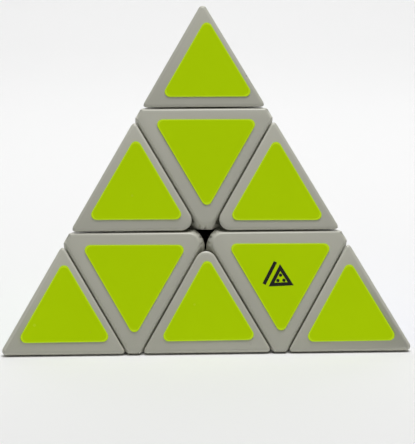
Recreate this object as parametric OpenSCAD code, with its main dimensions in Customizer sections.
// Pyramid twisty puzzle: four corner layers and four tips that turn about the axes of a tetrahedron.
// The origin is the middle of the core, where the four axes cross. The base lies below it, facing -Z,
// and the front face looks towards -Y.

/* [Pyramid] */
// Edge of the whole pyramid, measured to its sharp corners
edge_len = 98; // [84:1:120]
// Height of a tip, from the plane it turns on to the pyramid's sharp corner
tip_height = 25.3; // [21:0.1:31]
// How far a layer plane stands outside the point where three such planes would meet on a face
hole_relief = 0.3; // [0.1:0.05:1]
// Gap between neighbouring outer pieces
seam_gap = 0.3; // [0.2:0.05:0.5]
// Height cut off each sharp corner of the pyramid
corner_cut = 2; // [0.5:0.1:4]
// Radius along the pyramid's long edges
edge_round = 1; // [0.3:0.1:1.5]
// Radius along the seams
seam_round = 0.35; // [0.1:0.05:0.6]
// Radius of the corners round the hole in the middle of a face
hole_round = 2.9; // [1:0.1:4]

/* [Core and locking feet] */
// Thickness of the foot disc that lies under each layer plane
foot_t = 2.5; // [2:0.1:2.6]
// Reach of a foot disc past the inner edge of the edge pieces
foot_reach = 2.4; // [1.5:0.1:2.5]
// Gap between the moving inner parts, and between them and the core
inner_gap = 0.3; // [0.2:0.05:0.4]
// Radius of the clear well behind the hole in a face
well_r = 3; // [2:0.1:4]
// Height of the face's round corners over the feet
well_rise = 1; // [0.5:0.1:2]
// Radius of an axial piece's hub round its post
hub_r = 6.5; // [5.5:0.1:7]
// Radius of a post of the core
post_r = 3.5; // [3:0.1:4]
// Height of a post above the outermost foot
post_rise = 6.5; // [4:0.1:7]
// Radial clearance of a running fit
run_fit = 0.08; // [0.03:0.01:0.1]

/* [Tip bases, screws and springs] */
// Outer radius of a tip base
cup_r = 4.7; // [4.5:0.1:5]
// Wall of a tip base
cup_wall = 1; // [0.8:0.1:1.3]
// Floor of a tip base
cup_floor = 1.5; // [1:0.1:2]
// Gap between a post and the floor of the tip base above it
post_gap = 0.2; // [0.1:0.05:0.5]
// Length of the tip base's stem inside the tip cap
stem_len = 5.4; // [4:0.1:7]
// Radial clearance of the stem in the tip cap
stem_fit = 0.03; // [0.01:0.01:0.1]
// Radius of a screw's shank
screw_r = 1.5; // [1:0.1:1.6]
// Bite of the screw's thread into the core
thread_bite = 0.05; // [0.02:0.01:0.1]
// Distance from the centre to the end of a screw
screw_start = 6; // [5:0.1:9]
// Clearance round the shank
shank_gap = 0.25; // [0.1:0.05:0.4]
// Radius of a screw head
head_r = 2.9; // [2.5:0.1:3.2]
// Height of a screw head
head_h = 1.9; // [1.2:0.1:2.5]
// Depth of a screw head below the tip's turning plane
head_sink = 1.5; // [1:0.1:3]
// Width of the screw head's slots
slot_w = 0.8; // [0.5:0.1:1]
// Depth of the screw head's slots
slot_depth = 1; // [0.5:0.1:1.2]
// Radial gap between a washer and the wall of its tip base
washer_fit = 0.4; // [0.1:0.05:0.6]
// Thickness of a washer
washer_t = 0.5; // [0.3:0.05:0.6]
// Middle radius of a spring's turns
spring_r = 2.5; // [2.3:0.1:2.8]
// Wire diameter of a spring
wire_d = 0.5; // [0.4:0.05:0.6]
// Number of turns of a spring
spring_turns = 5; // [4:1:6]

/* [Stickers] */
// Thickness of a sticker
sticker_t = 0.2; // [0.1:0.05:0.3]
// Corner radius of a sticker
sticker_round = 1.25; // [0.5:0.05:2]
// Bare margin round a tip's sticker
tip_margin = 2.5; // [1.5:0.1:3]
// Bare margin round an edge piece's sticker
edge_margin = 2.5; // [1.5:0.1:3]
// Bare margin of an axial piece's sticker beside the tip
axial_tip_margin = 2.3; // [1.5:0.1:3]
// Bare margin of an axial piece's sticker beside the edge pieces
axial_side_margin = 3; // [2:0.1:4]

/* [Hidden] */
$fn = 48;

// A regular tetrahedron: the angle between two of its axes, and the sine that both face and axis share
axis_tilt = acos(-1 / 3);
tilt_sin = sin(axis_tilt);
half_sin = sin(axis_tilt / 2);
half_cos = cos(axis_tilt / 2);
CORNERS = ["top", "left", "right", "back"];
AXES = concat([[0, 0, 1]], [for (a = [210, 330, 90]) [tilt_sin * cos(a), tilt_sin * sin(a), cos(axis_tilt)]]);
// A face is named by the corner opposite it
FACES = ["bottom", "right", "left", "front"];
EDGES = [for (i = [0:3]) for (j = [0:3]) if (i < j) [i, j]];

// Size of a cutting block, and how far a cut runs past what it cuts
big = 2 * edge_len;
eps = 0.5;

// Distances from the centre
face_dist = edge_len * sqrt(6) / 12;
corner_dist = 3 * face_dist;
layer_cut = face_dist / 3 + hole_relief;
tip_cut = corner_dist - tip_height;
foot_base = layer_cut - foot_t;
foot_r = layer_cut * 4 / 3 / tilt_sin + foot_reach;
well_top = foot_r * tilt_sin + layer_cut / 3 + well_rise;
core_half = foot_base - inner_gap;
post_start = core_half - eps;
post_top = foot_r * tilt_sin - foot_base / 3 + post_rise;
cup_base = post_top + post_gap;
cup_top = tip_cut + seam_gap / 2 + stem_len;
head_top = tip_cut - head_sink;
head_base = head_top - head_h;
washer_r = cup_r - cup_wall - washer_fit;
spring_base = cup_base + cup_floor + washer_t;
spring_top = head_base - washer_t;

PLASTIC = [0.83, 0.83, 0.79];
BLACK = [0.06, 0.06, 0.06];
STEEL = [0.7, 0.71, 0.73];
STEM_GREY = [0.72, 0.72, 0.68];
FACE_COLOURS = [[0.75, 0.08, 0.1], [0.05, 0.2, 0.7], [0.05, 0.55, 0.2], [0.75, 0.85, 0.05]];

// One row for each sticker: its name, kind, face, and the corner that its upright direction points to
STICKERS = concat(
    [for (i = [0:3]) for (k = others(i)) [str("sticker_tip_", CORNERS[i], "_", FACES[k]), "tip", k, i]],
    [for (i = [0:3]) for (k = others(i)) [str("sticker_axial_", CORNERS[i], "_", FACES[k]), "axial", k, i]],
    [for (e = EDGES) for (k = [0:3]) for (m = [0:3])
        if (k != m && !is_in(k, e) && !is_in(m, e))
            [str("sticker_edge_", edge_name(e), "_", FACES[k]), "edge", k, m]]
);

function is_in(value, list) = len([for (v = list) if (v == value) v]) > 0;
function others(i) = [for (j = [0:3]) if (j != i) j];
function edge_name(e) = str(CORNERS[e[0]], "_", CORNERS[e[1]]);

// A plane is [unit normal, distance], and a piece keeps what lies behind it
function face(k) = [-AXES[k], face_dist];
function out_from(i, dist) = [-AXES[i], -dist];
function in_from(i, dist) = [AXES[i], dist];

// Planes that touch the cylinder of this radius fitted into the corner between planes p and q
function rounding(p, q, radius, cuts) =
    let (c = p[0] * q[0], angle = acos(c), dp = p[1] - radius, dq = q[1] - radius)
    let (middle = (p[0] * (dp - c * dq) + q[0] * (dq - c * dp)) / (1 - c * c))
    [for (s = [1:cuts])
        let (t = angle * s / (cuts + 1), n = (p[0] * sin(angle - t) + q[0] * sin(t)) / sin(angle))
        [n, n * middle + radius]];

// Height in a face, towards a corner, of the line where that corner's plane at this distance meets the face
function in_face(dist) = (dist - face_dist / 3) / tilt_sin;

// Placing matrix of an edge piece: X along the pyramid's long edge, Z out through the middle of it
function edge_frame(e) =
    let (x = (AXES[e[1]] - AXES[e[0]]) / (2 * half_sin), z = (AXES[e[0]] + AXES[e[1]]) / (2 * half_cos))
    let (y = cross(z, x))
    [[x.x, y.x, z.x, 0], [x.y, y.y, z.y, 0], [x.z, y.z, z.z, 0]];

// Everything in front of a plane
module beyond(plane) {
    n = plane[0];
    rotate([0, atan2(norm([n.x, n.y]), n.z), atan2(n.y, n.x)])
        translate([-big / 2, -big / 2, plane[1]])
            cube(big);
}

// The convex solid behind every plane of a list
module behind(planes) {
    difference() {
        cube(big, center = true);
        for (p = planes) beyond(p);
    }
}

// Turns a child's +Z to an axis
module along(i) {
    rotate([0, i == 0 ? 0 : axis_tilt, i == 0 ? 0 : atan2(AXES[i].y, AXES[i].x)]) children();
}

// All that may turn about +Z: what lies above the layer plane, and the foot disc under it.
// A positive shrink draws every surface in, and a negative one lets it grow.
module turning_part(plane_shrink, foot_shrink) {
    rotate_extrude() polygon([
        [0, foot_base + foot_shrink],
        [foot_r - foot_shrink, foot_base + foot_shrink],
        [foot_r - foot_shrink, layer_cut + plane_shrink],
        [edge_len, layer_cut + plane_shrink],
        [edge_len, edge_len],
        [0, edge_len]
    ]);
}

// Black heart with a post along each axis, drilled for the screws
module core() {
    color(BLACK) difference() {
        union() {
            polyhedron([for (v = AXES) -3 * core_half * v], [[3, 2, 1], [2, 3, 0], [3, 1, 0], [1, 2, 0]]);
            for (i = [0:3]) along(i) translate([0, 0, post_start]) cylinder(h = post_top - post_start, r = post_r);
        }
        for (i = [0:3])
            along(i) translate([0, 0, screw_start - eps])
                cylinder(h = post_top, r = screw_r - thread_bite);
    }
}

// Pan-head screws, one along each axis, with crossed slots
module screws() {
    color(STEEL) for (i = [0:3]) along(i) {
        translate([0, 0, screw_start]) cylinder(h = head_base - screw_start, r = screw_r);
        difference() {
            translate([0, 0, head_base]) cylinder(h = head_h, r = head_r);
            for (a = [0, 90])
                rotate([0, 0, a])
                    translate([-head_r * 0.6, -slot_w / 2, head_top - slot_depth])
                        cube([head_r * 1.2, slot_w, slot_depth + eps]);
        }
    }
}

// A washer at each end of every spring
module washers() {
    color(STEEL) for (i = [0:3]) for (z = [spring_base - washer_t, spring_top])
        along(i) translate([0, 0, z]) difference() {
            cylinder(h = washer_t, r = washer_r);
            translate([0, 0, -eps]) cylinder(h = washer_t + 2 * eps, r = screw_r + shank_gap);
        }
}

// Compression springs round the screws
module springs() {
    steps = 10;
    sides = 4;
    rings = spring_turns * steps;
    reach = spring_top - spring_base - wire_d * 1.3;
    points = [for (s = [0:rings]) for (q = [0:sides - 1])
        let (a = 360 * s / steps, b = 45 + 360 * q / sides, r = spring_r + wire_d / 2 * cos(b))
        [r * cos(a), r * sin(a), spring_base + wire_d * 0.65 + reach * s / rings + wire_d / 2 * sin(b)]];
    walls = [for (s = [0:rings - 1]) for (q = [0:sides - 1])
        let (a = s * sides + q, b = s * sides + (q + 1) % sides)
        each [[a, a + sides, b + sides], [a, b + sides, b]]];
    ends = [[for (q = [0:sides - 1]) q], [for (q = [sides - 1:-1:0]) rings * sides + q]];
    color(STEEL) for (i = [0:3]) along(i) polyhedron(points, concat(walls, ends));
}

// Piece between a tip and the middle of the edges. Its noses hold the feet of the edge pieces down.
module axial(i) {
    near = others(i);
    lid = in_from(i, tip_cut - seam_gap / 2);
    sides = [for (j = near) in_from(j, layer_cut - seam_gap / 2)];
    skin = concat(
        [lid, out_from(i, layer_cut + seam_gap / 2)],
        [for (k = near) face(k)],
        [for (j = near) for (k = near) if (j < k) each rounding(face(j), face(k), edge_round, 1)],
        [for (k = near) each rounding(face(k), lid, seam_round, 1)],
        [for (j = [0:2]) for (k = [0:2]) if (j != k) each rounding(face(near[k]), sides[j], seam_round, 1)],
        [for (j = [0:2]) for (k = [0:2]) if (j < k) each rounding(sides[j], sides[k], hole_round, 3)]
    );
    color(PLASTIC) difference() {
        union() {
            behind(skin);
            along(i) translate([0, 0, foot_base + inner_gap / 2]) cylinder(h = foot_t + eps, r = hub_r);
        }
        for (j = near) along(j) turning_part(-seam_gap / 2, -inner_gap / 2);
        along(i) translate([0, 0, foot_base]) cylinder(h = cup_base - foot_base + eps, r = post_r + run_fit);
        along(i) translate([0, 0, cup_base]) cylinder(h = tip_cut, r = cup_r + run_fit);
    }
}

// Cup that turns in the axial piece, holds the spring, and carries the tip cap on its stem
module tip_base(i) {
    color(STEM_GREY) along(i) difference() {
        translate([0, 0, cup_base]) cylinder(h = cup_top - cup_base, r = cup_r);
        translate([0, 0, cup_base + cup_floor]) cylinder(h = cup_top, r = cup_r - cup_wall);
        translate([0, 0, cup_base - eps]) cylinder(h = cup_floor + 2 * eps, r = screw_r + shank_gap);
    }
}

// Corner of the pyramid, pushed on the tip base
module tip_cap(i) {
    near = others(i);
    base = out_from(i, tip_cut + seam_gap / 2);
    point = in_from(i, corner_dist - corner_cut);
    skin = concat(
        [base, point],
        [for (k = near) face(k)],
        [for (j = near) for (k = near) if (j < k) each rounding(face(j), face(k), edge_round, 1)],
        [for (k = near) each rounding(face(k), base, seam_round, 1)]
    );
    color(PLASTIC) difference() {
        behind(skin);
        along(i) cylinder(h = cup_top, r = cup_r + stem_fit);
    }
}

// Edge piece with its foot, which the axial pieces on both sides hold down. It is drawn over the centre
// with the pyramid's long edge along X, and then turned to its place.
module edge(e) {
    outer = [for (s = [-1, 1]) [[0, s * half_sin, half_cos], face_dist]];
    cuts = [for (s = [-1, 1]) [[-s * half_sin, 0, -half_cos], -layer_cut - seam_gap / 2]];
    skin = concat(
        outer,
        rounding(outer[0], outer[1], edge_round, 1),
        [for (p = outer) for (c = cuts) each rounding(p, c, seam_round, 1)]
    );
    color(PLASTIC) multmatrix(edge_frame(e)) difference() {
        intersection() {
            rotate([0, axis_tilt / 2, 0]) turning_part(seam_gap / 2, inner_gap / 2);
            mirror([1, 0, 0]) rotate([0, axis_tilt / 2, 0]) turning_part(seam_gap / 2, inner_gap / 2);
            behind(skin);
        }
        for (s = [-1, 1]) rotate([s * axis_tilt / 2, 0, 0]) cylinder(h = well_top, r = well_r);
        for (p = rounding(cuts[0], cuts[1], hole_round, 3)) for (q = outer)
            intersection() {
                beyond(p);
                beyond([q[0], well_top]);
            }
    }
}

// Triangle with round corners, pointing along +Y round its own middle
module rounded_triangle(inner_r, corner_r) {
    reach = 2 * (inner_r - corner_r);
    polygon([for (c = [90, 210, 330]) for (a = [-60:20:60])
        [reach * cos(c) + corner_r * cos(c + a), reach * sin(c) + corner_r * sin(c + a)]]);
}

// Sticker on face k. Its +Y runs in the face towards corner m, from the middle of the face.
module sticker(kind, k, m) {
    cut = kind == "axial" ? -seam_gap / 2 : seam_gap / 2;
    hole_side = in_face(layer_cut + cut);
    tip_side = in_face(tip_cut + cut);
    height = kind == "tip" ? in_face(corner_dist) - tip_side
        : kind == "edge" ? in_face(corner_dist) / 2 - 2 * hole_side
        : tip_side + 2 * hole_side - axial_tip_margin - 2 * axial_side_margin;
    inner_r = height / 3 - (kind == "tip" ? tip_margin : kind == "edge" ? edge_margin : 0);
    middle = kind == "tip" ? tip_side + height / 3
        : kind == "edge" ? height / 3 - in_face(corner_dist) / 2
        : tip_side - axial_tip_margin - height / 3;
    normal = -AXES[k];
    up = (AXES[m] - (AXES[m] * normal) * normal) / tilt_sin;
    side = cross(up, normal);
    color(FACE_COLOURS[k])
        multmatrix([[side.x, up.x, normal.x, 0], [side.y, up.y, normal.y, 0], [side.z, up.z, normal.z, 0]])
            translate([0, middle, face_dist])
                rotate([0, 0, kind == "axial" ? 180 : 0])
                    linear_extrude(height = sticker_t) rounded_triangle(inner_r, sticker_round);
}

core();
screws();
washers();
springs();
for (i = [0:3]) {
    axial(i);
    tip_base(i);
    tip_cap(i);
}
for (e = EDGES)
    edge(e);
for (s = STICKERS)
    sticker(s[1], s[2], s[3]);
